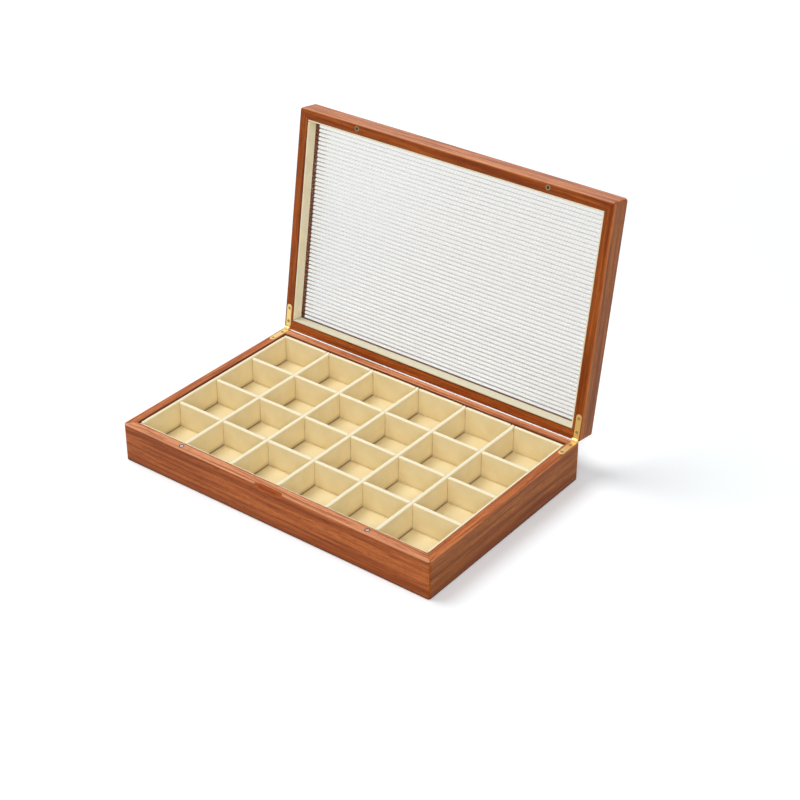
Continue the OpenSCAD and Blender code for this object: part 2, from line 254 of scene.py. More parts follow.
class RINGBOX_PG_wood(PropertyGroup):
    """Stained wood of the base's walls and the lid's rails."""

    light: colour_property("Light grain", "Palest streaks", rgb(222, 130, 68))
    middle: colour_property("Middle grain", "Main colour", rgb(190, 100, 44))
    dark: colour_property("Dark grain", "Darkest streaks", rgb(140, 64, 24))
    pore: colour_property("Pores", "Short dark pores", rgb(92, 40, 14))
    figure: length_property("Figure width", "Width of the broad, slow figure", 0.009)
    streak: length_property("Streak width", "Width of a streak", 0.0022)
    fibre: length_property("Fibre width", "Width of a fine fibre", 0.0007)
    pore_width: length_property("Pore width", "Width of a pore", 0.00028)
    pore_depth: length_property("Pore depth", "Depth of the pores in the varnish", 0.00003)
    roughness: share_property("Roughness", "Roughness of the satin varnish", 0.4)
    mitre_line: length_property("Mitre line", "Width of the dark line where two pieces meet", 0.00022)
    # Painted shade: the mating tint darkens the lid's mating face
    mating: colour_property("Mating face", "Deeper tint of the lid's mating face", rgb(218, 202, 150))
    # Painted shade: the side tint darkens the right-hand faces, which face away from the light
    side: colour_property("Side tint", "Browner tint of the faces at the right", rgb(226, 234, 200))
    # Painted light: the rim colour is painted where light falls on the rims' tops and the lid's front
    # face, and along worn edges as a painted highlight
    rim: colour_property("Rim", "Paler colour of rims and worn edges", rgb(240, 172, 130))
    rim_share: share_property("Rim share", "How much of the paler colour the front rim takes", 0.6)
    # Painted shade: the foot colour and foot shade darken the walls towards the floor, and the foot line
    # is a painted contact shadow along their lower edges
    foot: colour_property("Foot", "Deeper colour at the feet of the walls", rgb(130, 56, 0))
    foot_line: length_property("Foot line", "Height of the dark line along the walls' lower edges", 0.0021)
    foot_shade: share_property("Foot shade", "How much darker the walls are at their feet", 0.6)
    # Worn edges with a painted highlight: the paler line along the outer edges is part wear and part
    # painted highlight
    edge_width: length_property("Edge width", "Width of the worn line along an edge", 0.0014)
    edge_share: share_property("Edge share", "How strongly the edges are worn", 0.55)


class RINGBOX_PG_fabric(PropertyGroup):
    """Cream fabric on the tray's boards and the lid's strips."""

    colour: colour_property("Colour", "Main colour", rgb(244, 228, 184))
    shade: colour_property("Shade", "Colour of slightly darker patches", rgb(237, 217, 168))
    # Painted light: this pale colour is painted along the boards' tops where light falls on them; it is
    # also the main colour of the lid's strips
    pale: colour_property("Pale", "Colour where the fabric is stretched over a top", rgb(250, 240, 208))
    # Painted shade: the darker, greyer colour of the lid's strip by the hinges, which lies in shade
    strip: colour_property("Strip", "Colour of the lid's strip by the hinges", rgb(222, 214, 186))
    # Painted shade: the colour painted deep in the folds, and how far it reaches
    crease: colour_property("Crease", "Shadowed colour deep in the folds", rgb(126, 86, 14))
    crease_reach: length_property("Crease reach", "How far a fold's darker colour reaches", 0.0012)
    thread: length_property("Thread", "Distance from thread to thread", 0.0007)
    thread_depth: length_property("Thread depth", "Height of the weave", 0.00004)
    sheen: share_property("Sheen", "Soft light on the nap", 0.25)
    top_round: length_property("Top rounding", "Radius along the tops of the boards", 0.0008)
    foot_round: length_property("Foot rounding", "Radius where the fabric turns under a board", 0.0008)
    tight_round: length_property("Tight rounding", "The same under boards that run left to right", 0.0003)
    end_lift: length_property("End lift", "Rise of the column dividers' ends over the linings", 0.0008)
    end_gap: length_property("End gap", "Gap between a board's end and what it meets", 0.0002)
    front_sag: length_property("Front sag", "How far the front lining's top has sunk at the right", 0.0006)
    ripple: length_property("Ripple", "Unevenness of the padded faces", 0.00014)
    seam: length_property("Seam depth", "Depth of the fold beside each board's end", 0.00016)
    seam_inset: length_property("Seam inset", "Distance of that fold from the board's end", 0.0022)
    floor_swell: length_property("Floor swell", "How far the floor's padding rises in each cell", 0.0005)


class RINGBOX_PG_panel(PropertyGroup):
    """Clear ribbed panel of the lid."""

    tint: colour_property("Tint", "Colour of the clear plastic", rgb(232, 230, 227))
    # Painted shade: the darker line painted between two ribs, where the light bends in the real plastic
    line: colour_property("Line", "Colour of the line between two ribs", rgb(158, 155, 152))
    line_width: length_property("Line width", "Width of that line", 0.0005)
    rib_pitch: length_property("Rib pitch", "Distance from rib to rib", 0.00327)
    ior: FloatProperty(name="Refractive index", description="Refractive index of the clear plastic",
                       default=1.3, min=1, max=2)
    roughness: share_property("Roughness", "Roughness of the moulded faces", 0.0)


class RINGBOX_PG_metal(PropertyGroup):
    """Brass of the hinges and plating of the magnets."""

    brass: colour_property("Brass", "Polished brass", rgb(242, 210, 140))
    screw: colour_property("Screws", "Darker brass of the screws", rgb(188, 156, 92))
    nickel: colour_property("Magnets", "Nickel plating", rgb(196, 196, 198))
    worn: colour_property("Lid magnets", "Duller plating of the lid's magnets", rgb(150, 126, 88))
    shadow: colour_property("Magnet shadow", "Dark part of a magnet's face", rgb(58, 40, 26))
    brass_roughness: share_property("Brass roughness", "Roughness of the polished brass", 0.34)
    lacquer: share_property("Lacquer", "Part of the light that the brass's lacquer scatters", 0.3)
    edge: length_property("Edge", "Radius of the softened metal edges", 0.00018)


class RINGBOX_PG_underside(PropertyGroup):
    """Felt sheet and bottom board under the base."""

    felt: colour_property("Felt", "Felt fibres", rgb(96, 62, 42))
    felt_dark: colour_property("Felt shade", "Gaps between the fibres", rgb(66, 42, 28))
    board: colour_property("Board", "Bottom board", rgb(196, 158, 112))


class RINGBOX_PG_stage(PropertyGroup):
    """Camera, floor and light."""

    azimuth: angle_property("Azimuth", "Camera's angle from the front round to the right",
                            math.radians(37.19))
    elevation: angle_property("Elevation", "Camera's angle above the floor", math.radians(31.54))
    roll: angle_property("Roll", "Camera's tilt to one side", math.radians(0.21))
    distance: length_property("Distance", "Distance from the camera to what it looks at", 1.40132)
    target: place_property("Target", "Point that the camera looks at", (-0.02972, 0.09962, 0.0))
    lens: FloatProperty(name="Lens", description="Focal length on a 36 mm sensor, in millimetres",
                        default=80.48, min=10, max=300)
    floor_size: length_property("Floor size", "Side of the square floor", 8.0)
    sky: light_property("Sky", "Brightness of the even light from all round", 0.33)
    key: light_property("Key", "Light of the lamp overhead on a face square to it, where 1 shows a colour "
                        "as written", 0.52)
    fill: light_property("Fill", "The same for the lamp in front", 0.42)
    paper: colour_property("Paper", "Colour of the floor", (0.945, 0.98, 1.0))
    near_glow: light_property("Near glow", "Floor's own light beside the box", 0.16)
    far_glow: light_property("Far glow", "Floor's own light far from the box", 0.75)


GROUPS = {
    "ringbox_wood": RINGBOX_PG_wood,
    "ringbox_fabric": RINGBOX_PG_fabric,
    "ringbox_panel": RINGBOX_PG_panel,
    "ringbox_metal": RINGBOX_PG_metal,
    "ringbox_underside": RINGBOX_PG_underside,
    "ringbox_stage": RINGBOX_PG_stage,
}


class Nodes:
    """The node tree of a material or a world, and short calls for the nodes in it."""

    MIX_FACTOR, MIX_A, MIX_B, MIX_RESULT = 0, 6, 7, 2

    def __init__(self, owner, shader, output):
        owner.use_nodes = True
        self.tree = owner.node_tree
        self.shader = self.tree.nodes[shader]
        self.surface = self.tree.nodes[output].inputs["Surface"]

    def feed(self, target, value):
        """Joins an output to an input, or sets the input to a plain value."""
        if isinstance(value, bpy.types.NodeSocket):
            self.tree.links.new(value, target)
        else:
            target.default_value = value

    def set(self, **values):
        """Feeds the first shader's inputs, with underlines for the spaces in their names."""
        for key, value in values.items():
            self.feed(self.shader.inputs[key.replace("_", " ")], value)

    def node(self, kind, inputs=None, **settings):
        """New node with these settings, and with values or outputs for the inputs named or numbered."""
        made = self.tree.nodes.new("ShaderNode" + kind)
        for key, value in settings.items():
            setattr(made, key, value)
        for key, value in (inputs or {}).items():
            self.feed(made.inputs[key], value)
        return made

    def place(self, turn=Euler((0, 0, 0)), shift=Vector((0, 0, 0))):
        """The piece's own coordinates, turned and then shifted."""
        at = self.node("TexCoord").outputs["Object"]
        return self.node("Mapping", {"Vector": at, "Rotation": turn, "Location": shift}).outputs["Vector"]

    def stretched(self, vector, scale):
        return self.node("Mapping", {"Vector": vector, "Scale": scale}).outputs["Vector"]

    def noise(self, vector, scale=1.0, detail=2.0, roughness=0.5, distortion=0.0):
        inputs = {"Vector": vector, "Scale": scale, "Detail": detail, "Roughness": roughness,
                  "Distortion": distortion}
        return self.node("TexNoise", inputs).outputs["Fac"]

    def math(self, operation, a, b=0.0, clamp=False):
        return self.node("Math", {0: a, 1: b}, operation=operation, use_clamp=clamp).outputs[0]

    def band(self, value, low, high, out_low=0.0, out_high=1.0):
        """Value carried smoothly from low..high to out_low..out_high."""
        inputs = {"Value": value, "From Min": low, "From Max": high, "To Min": out_low, "To Max": out_high}
        return self.node("MapRange", inputs, interpolation_type="SMOOTHSTEP", clamp=True).outputs["Result"]

    def mask(self, value, name):
        """One of the named masks over a noise."""
        return self.band(value, *MASKS[name])

    def fade(self, value, near, far, share=1.0):
        """The share for values up to near, which falls to nothing at far."""
        return self.band(value, near, far, share, 0.0)

    def uneven(self, value, middle, spread):
        """Middle with what a noise adds to it, from one end of the spread to the other."""
        start, end = spread
        return self.band(value, *NOISE_RANGE, middle + start, middle + end)

    def mix(self, factor, a, b, blend_type="MIX"):
        """Second colour over the first by the factor."""
        first, second = [c if isinstance(c, bpy.types.NodeSocket) else (*c, 1) for c in (a, b)]
        inputs = {self.MIX_FACTOR: factor, self.MIX_A: first, self.MIX_B: second}
        return self.node("Mix", inputs, data_type="RGBA", blend_type=blend_type).outputs[self.MIX_RESULT]

    def parts(self, vector):
        return self.node("SeparateXYZ", {0: vector}).outputs

    def bump(self, height, distance, strength, under=None):
        """Normal that follows a height, over another normal if one is given."""
        inputs = {"Height": height, "Distance": distance, "Strength": strength}
        if under is not None:
            inputs["Normal"] = under
        return self.node("Bump", inputs).outputs["Normal"]

    def choose(self, share, first, second):
        """Light of the first output where the share is 0, and of the second where it is 1."""
        return self.node("MixShader", {0: share, 1: first, 2: second}).outputs[0]

    def seen(self):
        """1 for a ray from the camera, through the clear panel or off a shiny face, else 0."""
        paths = self.node("LightPath").outputs
        direct = self.math("MAXIMUM", paths["Is Camera Ray"], paths["Is Transmission Ray"])
        return self.math("MAXIMUM", direct, paths["Is Glossy Ray"])


class Finish(Nodes):
    """A new material and its nodes."""

    def __init__(self, name):
        self.material = bpy.data.materials.new(name)
        super().__init__(self.material, "Principled BSDF", "Material Output")


def wear(obj, material):
    """Puts one material on every slot of a piece."""
    if not obj.data.materials:
        obj.data.materials.append(material)
    for slot in obj.material_slots:
        slot.material = material


def add_object(name, data):
    """New object in the scene."""
    made = bpy.data.objects.new(name, data)
    bpy.context.scene.collection.objects.link(made)
    return made


def shut_offset(turn):
    """Shift that goes with a turn about X to bring the lid's points to where they lie when it is shut."""
    return PIN - Euler((turn, 0, 0)).to_matrix() @ PIN


def grain_colour(made, wood, grain):
    """Stained wood whose grain runs along X: its colour, its pores, its fibres and its pale places."""
    drift = made.noise(made.stretched(grain, DRIFT_SCALE), detail=1.0)
    flow = made.node("VectorMath", {0: drift, 1: (0, DRIFT, DRIFT), 2: grain},
                     operation="MULTIPLY_ADD").outputs[0]

    def layer(width, length, detail):
        scale = (1 / (width * length), 1 / width, 1 / width)
        return made.noise(made.stretched(flow, scale), detail=detail)

    figure = layer(wood.figure, FIGURE_LENGTH, detail=1.0)
    streak = layer(wood.streak, STREAK_LENGTH, detail=2.0)
    fibre = layer(wood.fibre, FIBRE_LENGTH, detail=2.0)
    base = made.mix(made.mask(figure, "figure"), wood.dark, wood.light)
    base = made.mix(MIDDLE_SHARE, base, wood.middle)
    base = made.mix(made.mask(streak, "dark_streak"), base, wood.dark)
    base = made.mix(made.mask(streak, "light_streak"), base, wood.light)
    base = made.mix(made.mask(fibre, "dark_fibre"), base, wood.dark)
    pores = made.mask(layer(wood.pore_width, PORE_LENGTH, detail=0.0), "pore")
    pale = made.math("MULTIPLY", made.mask(streak, "pale_streak"), made.mask(fibre, "pale_fibre"))
    pale = made.math("MULTIPLY", pale, made.math("SUBTRACT", 1.0, pores))
    return made.mix(pores, base, wood.pore), pores, fibre, pale


def wood_finish(wood, name, side, opened, shift):
    """Stained wood whose grain runs along the piece, with dark mitre lines, worn edges with a painted
    highlight, and painted light and shade on rims, feet and faces.
    """
    made = Finish(name)
    turn_z = 0.0 if side in ("front", "back") else -math.pi / 2
    lid_turn = OPEN_ANGLE if opened else 0.0
    shut_shift = shut_offset(lid_turn)
    shut = made.place(Euler((lid_turn, 0, 0)), shut_shift)
    grain_shift = Matrix.Rotation(turn_z, 3, "Z") @ shut_shift + shift
    grain = made.place(Euler((lid_turn, 0, turn_z)), grain_shift)
    base, pores, fibre, pale = grain_colour(made, wood, grain)

    x, y, z = made.parts(shut)
    across_x, across_y = made.math("ABSOLUTE", x), made.math("ABSOLUTE", y)
    apart = made.math("SUBTRACT", across_x, across_y)
    off_mitre = made.math("ABSOLUTE", made.math("SUBTRACT", apart, MITRE_OFFSET))
    core = wood.mitre_line * LINE_CORE
    mitre = made.fade(off_mitre, core, core + wood.mitre_line, MITRE_SHARE)
    base = made.mix(mitre, base, wood.pore)
    outer = made.math("MINIMUM", made.math("SUBTRACT", BOX_X, across_x),
                      made.math("SUBTRACT", BOX_Y, across_y))
    marks = lid_marks if opened else base_marks
    base = marks(made, wood, base, side, outer, (across_x, across_y, z), pale)

    height = made.math("SUBTRACT", 1.0, made.math("ADD", pores, mitre), clamp=True)
    made.set(Base_Color=base, Roughness=made.uneven(fibre, wood.roughness, VARNISH_SPREAD),
             Normal=made.bump(height, wood.pore_depth, strength=0.6), Coat_Weight=0.04,
             Coat_Roughness=0.25, Specular_IOR_Level=0.12)
    return made.material


def edge_line(made, wood, outer, from_face, share):
    """Mask of the line where the outer walls meet the face that from_face is measured from."""
    off = made.math("ADD", outer, from_face)
    return made.fade(off, wood.edge_width * EDGE_CORE, wood.edge_width, share)


def inner_face_shade(made, place, inner_x, inner_y, share):
    """Mask of the faces that look into the box, where painted shade darkens the wood."""
    beyond = made.math("MAXIMUM", made.math("SUBTRACT", place[0], inner_x),
                       made.math("SUBTRACT", place[1], inner_y))
    return made.fade(beyond, *INNER_EDGE, share)


def base_marks(made, wood, base, side, outer, place, pale):
    """Colour of a base wall, with painted light and shade: rims paler where light falls, worn upper edges
    with a painted highlight, a foot in painted shade with a painted contact shadow, and right and inner
    faces in painted shade.
    """
    z = place[2]
    # Painted shade on the right face, which faces away from the light
    if side == "right":
        below = made.fade(z, RIM_Z - RIM_REACH, RIM_Z - SIDE_END)
        base = made.mix(below, base, wood.side, "MULTIPLY")
    # Painted light: the rims' tops are paler where light falls on them, most along the pale streaks of the
    # grain
    rim = made.band(z, RIM_Z - RIM_REACH, RIM_Z - RIM_FULL, 0.0, wood.rim_share * RIM_LIGHT_SHARES[side])
    base = made.mix(made.math("MULTIPLY", rim, pale), base, wood.rim)
    # Worn upper edges with a painted highlight, weakest on the right, which faces away from the light
    worn = wood.edge_share * EDGE_WEAR_AND_HIGHLIGHT_SHARES[side]
    upper = edge_line(made, wood, outer, made.math("SUBTRACT", RIM_Z, z), worn)
    base = made.mix(upper, base, wood.rim)
    # Painted shade towards the floor, and a painted contact shadow along the lower edge
    base = made.mix(made.fade(z, FOOT_Z, FOOT_Z + FOOT_SHADE_REACH, wood.foot_shade), base, wood.foot)
    lower = made.fade(z, FOOT_Z + wood.foot_line * LINE_CORE, FOOT_Z + wood.foot_line, FOOT_SHADOW_LINE_SHARE)
    base = made.mix(lower, base, wood.pore)
    # Painted shade on the faces that look into the box
    return made.mix(inner_face_shade(made, place, INNER_X, INNER_Y, BASE_INNER_SHADE), base, wood.pore)


def lid_marks(made, wood, base, side, outer, place, pale):
    """Colour of a lid rail, with painted light and shade: a mating face in painted shade, a paler front
    face where light falls, worn lower edges with a painted highlight on the front and right rails and
    painted dark ones on the others, and darker edges at its top.
    """
    z = place[2]
    near, far = MATING_EDGE
    # Painted shade on the lid's mating face, lighter on the back rail
    mating = made.fade(z, LID_Z + near, LID_Z + far, MATING_SHADE_SHARES[side])
    outside = made.math("MULTIPLY", made.fade(outer, *OUTER_EDGE), made.math("SUBTRACT", 1.0, mating))
    # Painted shade on the lid's right face, which faces away from the light
    if side == "right":
        base = made.mix(outside, base, wood.side, "MULTIPLY")
    # Painted light: the lid's front face is paler where light falls on it
    if side == "front":
        lit = made.math("MULTIPLY", pale, wood.rim_share * LID_FACE_LIGHT)
        base = made.mix(made.math("MULTIPLY", outside, lit), base, wood.rim)
    base = made.mix(mating, base, wood.mating, "MULTIPLY")
    # Lower edges: worn with a painted highlight on the front and right rails; a painted dark line on the
    # back rail (painted shade) and on the left rail (painted dark reflection)
    edges = {"front": (wood.edge_share, wood.rim), "right": (LID_RIGHT_EDGE_WEAR_AND_HIGHLIGHT, wood.rim)}
    share, colour = edges.get(side, (LID_PAINTED_DARK_EDGE, wood.pore))
    lower = edge_line(made, wood, outer, made.math("SUBTRACT", z, LID_Z), share)
    base = made.mix(lower, base, colour)
    top = edge_line(made, wood, outer, made.math("SUBTRACT", LID_TOP, z), LID_TOP_EDGE)
    base = made.mix(top, base, wood.pore)
    # Painted shade on the faces that look into the lid
    return made.mix(inner_face_shade(made, place, LID_INNER_X, LID_INNER_Y, LID_INNER_SHADE), base, wood.pore)


def fabric_finish(fabric, name, colours, top=None, opened=False):
    """Fabric with a fine weave, a soft nap and slightly uneven colour, painted shade in its folds and
    painted light along a board's top.
    """
    made = Finish(name)
    here = made.place(Euler((OPEN_ANGLE if opened else 0.0, 0, 0)))
    axes = made.parts(here)
    per_thread = 2 * math.pi / fabric.thread
    waves = [made.math("SINE", made.math("MULTIPLY", axis, per_thread)) for axis in axes]
    weave = made.math("MULTIPLY", made.math("ADD", waves[0], waves[1]), waves[2])
    nap = made.noise(here, scale=2600, detail=1.0)
    patch = made.noise(here, scale=90, detail=2.0)
    main, other = colours
    colour = made.mix(made.mask(patch, "fabric_patch"), main, other)
    colour = made.mix(made.mask(nap, "fabric_nap"), colour, other)
    # Painted shade deep in the folds
    crease = made.node("Attribute", attribute_name="crease").outputs["Fac"]
    colour = made.mix(crease, colour, fabric.crease)
    # Painted light along the board's top
    if top is not None:
        start, end = top - fabric.top_round * TOP_START, top - fabric.top_round * TOP_END
        colour = made.mix(made.band(axes[2], start, end), colour, fabric.pale)
    height = made.math("ADD", made.math("MULTIPLY", weave, WEAVE_SHARE), nap)
    made.set(Base_Color=colour, Roughness=0.92,
             Normal=made.bump(height, fabric.thread_depth, strength=0.5), Specular_IOR_Level=0.2,
             Sheen_Weight=fabric.sheen, Sheen_Roughness=0.5, Sheen_Tint=(1.0, 0.97, 0.9, 1))
    return made.material


def metal_finish(metal, name, colour, roughness):
    """Polished metal with softened edges and faint brushing."""
    made = Finish(name)
    here = made.place()
    brushed = made.noise(made.stretched(here, BRUSHED_SCALE), detail=1.0)
    tarnish = made.mask(made.noise(here, scale=420, detail=2.0), "tarnish")
    soft = made.node("Bevel", {"Radius": metal.edge}, samples=4)
    dull = tuple(c * TARNISHED for c in colour)
    made.set(Base_Color=made.mix(tarnish, colour, dull), Metallic=1.0 - metal.lacquer,
             Roughness=made.uneven(brushed, roughness, BRASS_SPREAD),
             Normal=made.bump(brushed, BRUSHED_DEPTH, strength=0.4, under=soft.outputs["Normal"]))
    return made.material


def loft(name, rings, crease_shades):
    """Closed object skinned over rings of as many points each, and how much painted shade each point takes
    in its fold.
    """
    mesh = bpy.data.meshes.new(name)
    bm = bmesh.new()
    loops = [[bm.verts.new(p) for p in ring] for ring in rings]
    count = len(loops[0])
    for a, b in zip(loops, loops[1:]):
        for i in range(count):
            j = (i + 1) % count
            bm.faces.new((a[i], a[j], b[j], b[i]))
    bm.faces.new(list(reversed(loops[0])))
    bm.faces.new(loops[-1])
    bmesh.ops.recalc_face_normals(bm, faces=bm.faces)
    for face in bm.faces:
        face.smooth = True
    bm.to_mesh(mesh)
    bm.free()
    mark_crease_shades(mesh, crease_shades)
    return add_object(name, mesh)


def slab(name, wide, pairs, smooth):
    """Closed mesh over a grid of (top, foot) points in rows of the width given, smooth above and below."""
    mesh = bpy.data.meshes.new(name)
    bm = bmesh.new()
    corners = [(bm.verts.new(top), bm.verts.new(foot)) for top, foot in pairs]
    tops, feet = zip(*corners)
    rows = len(pairs) // wide
    for j in range(rows - 1):
        for i in range(wide - 1):
            a = j * wide + i
            bm.faces.new((tops[a], tops[a + 1], tops[a + 1 + wide], tops[a + wide]))
            bm.faces.new((feet[a], feet[a + wide], feet[a + 1 + wide], feet[a + 1]))
    last = (rows - 1) * wide
    rim = (list(range(wide - 1)) + [wide - 1 + wide * j for j in range(rows - 1)]
           + [last + i for i in range(wide - 1, 0, -1)] + [wide * j for j in range(rows - 1, 0, -1)])
    for a, b in zip(rim, rim[1:] + rim[:1]):
        bm.faces.new((feet[a], feet[b], tops[b], tops[a]))
    bmesh.ops.recalc_face_normals(bm, faces=bm.faces)
    for face in bm.faces:
        face.smooth = smooth and abs(face.normal.z) > 0.5
    bm.to_mesh(mesh)
    bm.free()
    return mesh


def mark_crease_shades(mesh, crease_shades):
    """Stores on each point, from 0 to 1, how much painted shade it takes deep in a fold."""
    marks = mesh.attributes.new("crease", "FLOAT", "POINT")
    marks.data.foreach_set("value", crease_shades)


def quarter_turn(steps):
    """Angles from 0 to a right angle."""
    return [math.pi / 2 * i / steps for i in range(steps + 1)]


def board_ring(half_t, foot, top, foot_r, top_r):
    """Outline of a padded board seen end on, as (across, up) pairs from its left foot to its right one."""
    largest = min(half_t * LARGEST_ROUNDING, (top - foot) / 2)
    top_r = min(top_r, largest)
    foot_r = min(foot_r, largest)
    angles = quarter_turn(EDGE_STEPS)
    face = top - top_r - foot - foot_r
    half = [(half_t - foot_r + foot_r * math.sin(a), foot + foot_r - foot_r * math.cos(a)) for a in angles]
    half += [(half_t, foot + foot_r + face * i / FACE_STEPS) for i in range(1, FACE_STEPS)]
    half += [(half_t - top_r + top_r * math.cos(a), top - top_r + top_r * math.sin(a)) for a in angles]
    return [(-across, up) for across, up in half] + [(across, up) for across, up in reversed(half)]


def rippled(point, size, seed):
    """How far the padding stands out at a point."""
    at = point * RIPPLES_PER_METRE + Vector((seed * SEED_STEP[0], seed * SEED_STEP[1], 0))
    finer, share = FINE_RIPPLE
    return size * (noise.noise(at) + share * noise.noise(at * finer))


class Station:
    """A cut across a board: how far along it lies, its foot and top, and how much it is drawn in."""

    def __init__(self, along, foot, top, draw_in=0.0):
        self.along = along
        self.foot = foot
        self.top = top
        self.draw_in = draw_in


def padded_board(name, fabric, stations, half_t, to_world, seed, top_r, foot_r, foot_crease_shade):
    """Fabric-covered board through its stations, with its length along the local X axis."""
    rings, crease_shades = [], []
    coarser, lower = TOP_RIPPLE
    for s in stations:
        ring = []
        deep = max(0.0, s.draw_in - fabric.seam) / fabric.foot_round
        for across, up in board_ring(half_t - s.draw_in, s.foot, s.top, foot_r, top_r):
            # Painted shade where the board's end is drawn in and along its foot
            low = 1 - (up - s.foot) / fabric.crease_reach
            crease_shades.append(max(min(deep, 1.0) * END_CREASE_SHADE, low * foot_crease_shade, 0.0))
            here = to_world @ Vector((s.along, across, up))
            share = min(max((up - s.foot) / (s.top - s.foot), 0), 1)
            swell = rippled(here, fabric.ripple, seed) * math.sin(math.pi * share) ** 0.5
            lift = 0.0
            if share > TOP_RIPPLE_FROM:
                lift = rippled(here * coarser, fabric.ripple * lower, seed + TOP_SEED)
            ring.append(to_world @ Vector((s.along, across + math.copysign(1, across) * swell, up + lift)))
        rings.append(ring)
    return loft(name, rings, crease_shades)


def full_run(start, end, foot, top, fabric, open_top=True):
    """Stations from start to end at full height, drawn in at both ends, with a fold beside each end."""
    r, seam_at = fabric.foot_round, start + fabric.seam_inset
    found = [(start + r - r * math.cos(a), r - r * math.sin(a)) for a in quarter_turn(END_STEPS)]
    found += [(seam_at - SEAM_HALF, 0.0), (seam_at, fabric.seam), (seam_at + SEAM_HALF, 0.0)]
    mirrored = [(start + end - along, draw) for along, draw in reversed(found)]
    first, last = found[-1][0], mirrored[0][0]
    count = max(2, round((last - first) / MESH_STEP))
    found += [(first + (last - first) * i / count, 0.0) for i in range(1, count)]
    found += mirrored
    if open_top:
        return [Station(along, foot, top - draw * END_DROP, draw) for along, draw in found]
    return [Station(along, foot, top, min(draw, fabric.seam)) for along, draw in found]


def slotted_board(start, end, foot, top, crossings, half_slot, bridge, fabric):
    """Stations of a board that is cut back to the bridge's foot and top at each crossing."""
    edges = [start] + [e for c in crossings for e in (c - half_slot, c + half_slot)] + [end]
    gap = fabric.end_gap
    stations = []
    for a, b in zip(edges[::2], edges[1::2]):
        stations += full_run(a + gap, b - gap, foot, top, fabric, open_top=bridge[1] < top)
        if b != end:
            stations += [Station(b, *bridge), Station(b + 2 * half_slot, *bridge)]
    return stations


def board_place(low, high):
    """A board's matrix from its own axes, its length, its half thickness, and if it lies along X."""
    centre = (low + high) / 2
    size = high - low
    lies_x = size.x > size.y
    turn = Matrix.Identity(4) if lies_x else Matrix.Rotation(math.pi / 2, 4, "Z")
    length, half_t = (size.x, size.y / 2) if lies_x else (size.y, size.x / 2)
    return Matrix.Translation((centre.x, centre.y, 0)) @ turn, length, half_t, lies_x


def fabric_piece(name, material, body, node, fabric, stations, half_t, to_world, seed, top_r, fold):
    """Padded board that stands for a CAD node; its fold is the radius and the painted shade along its
    foot.
    """
    piece = padded_board(name, fabric, stations, half_t, to_world, seed, top_r, *fold)
    wear(piece, material)
    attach(piece, body)
    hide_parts(node)


def tray_board(fabric, material, node, stations, seed):
    """Padded board of the tray, with a tight fold and little painted shade along its foot if it runs left
    to right.
    """
    to_world, _length, half_t, lies_x = board_place(*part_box(node))
    fold = (fabric.foot_round, COLUMN_FOOT_SHADE)
    if lies_x:
        fold = (fabric.tight_round, ROW_FOOT_SHADE)
    fabric_piece(f"{node}_pad", material, "base", node, fabric, stations, half_t, to_world, seed,
                 fabric.top_round, fold)


class RINGBOX_OT_wood(Operator):
    """Finish the base's walls and the lid's rails in stained wood"""

    bl_idname = "ringbox.wood"
    bl_label = "Finish the wood"

    def execute(self, context):
        wood = context.scene.ringbox_wood
        for part, opened in (("base_{}_wall", False), ("lid_{}_rail", True)):
            for number, side in enumerate(SIDES):
                node = part.format(side)
                shift = GRAIN_STEP * (number + 1 + 5 * opened)
                wear(frame["nodes"][node], wood_finish(wood, "stained_" + node, side, opened, shift))
        return {"FINISHED"}


class RINGBOX_OT_underside(Operator):
    """Finish the felt sheet and the bottom board"""

    bl_idname = "ringbox.underside"
    bl_label = "Finish the underside"

    def execute(self, context):
        under = context.scene.ringbox_underside
        sheet = add_object("felt_sheet", self.felt_mesh(*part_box("base_felt")))
        wear(sheet, self.felt_finish(under))
        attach(sheet, "base")
        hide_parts("base_felt")

        board = Finish("bottom_board")
        grain = board.noise(board.stretched(board.place(), BOARD_SCALE), detail=3.0)
        pale = tuple(min(1.0, c * BOARD_PALER) for c in under.board)
        board.set(Base_Color=board.mix(grain, under.board, pale), Roughness=0.6,
                  Normal=board.bump(grain, distance=0.00005, strength=0.4))
        wear(frame["nodes"]["base_bottom_panel"], board.material)
        return {"FINISHED"}

    def felt_finish(self, under):
        """Pressed felt: curled fibres in two browns, denser in clumps."""
        felt = Finish("pressed_felt")
        here = felt.place()
        fibres = felt.noise(here, scale=1400, detail=4.0, roughness=0.7, distortion=1.2)
        clumps = felt.noise(here, scale=120, detail=2.0)
        colour = felt.mix(felt.mask(fibres, "felt_fibre"), under.felt_dark, under.felt)
        colour = felt.mix(felt.mask(clumps, "felt_clump"), colour, under.felt_dark)
        felt.set(Base_Color=colour, Roughness=0.95, Sheen_Weight=0.4, Specular_IOR_Level=0.15,
                 Normal=felt.bump(fibres, distance=0.00025, strength=0.7))
        return felt.material

    def felt_mesh(self, low, high):
        """Thin sheet with cut corners and a slightly uneven underside."""
        pairs = []
        for j in range(FELT_ROWS + 1):
            for i in range(FELT_COLUMNS + 1):
                x = low.x + (high.x - low.x) * i / FELT_COLUMNS
                y = low.y + (high.y - low.y) * j / FELT_ROWS
                inside = 0 < i < FELT_COLUMNS and 0 < j < FELT_ROWS
                at = Vector((x * DENTS_PER_METRE, y * DENTS_PER_METRE, FELT_SLICE))
                dent = FELT_DENT * (1 + noise.noise(at)) if inside else 0
                if i in (0, FELT_COLUMNS) and j in (0, FELT_ROWS):
                    x -= math.copysign(FELT_CUT, x)
                pairs.append(((x, y, high.z), (x, y, low.z + dent)))
        return slab("felt_sheet", FELT_COLUMNS + 1, pairs, smooth=False)


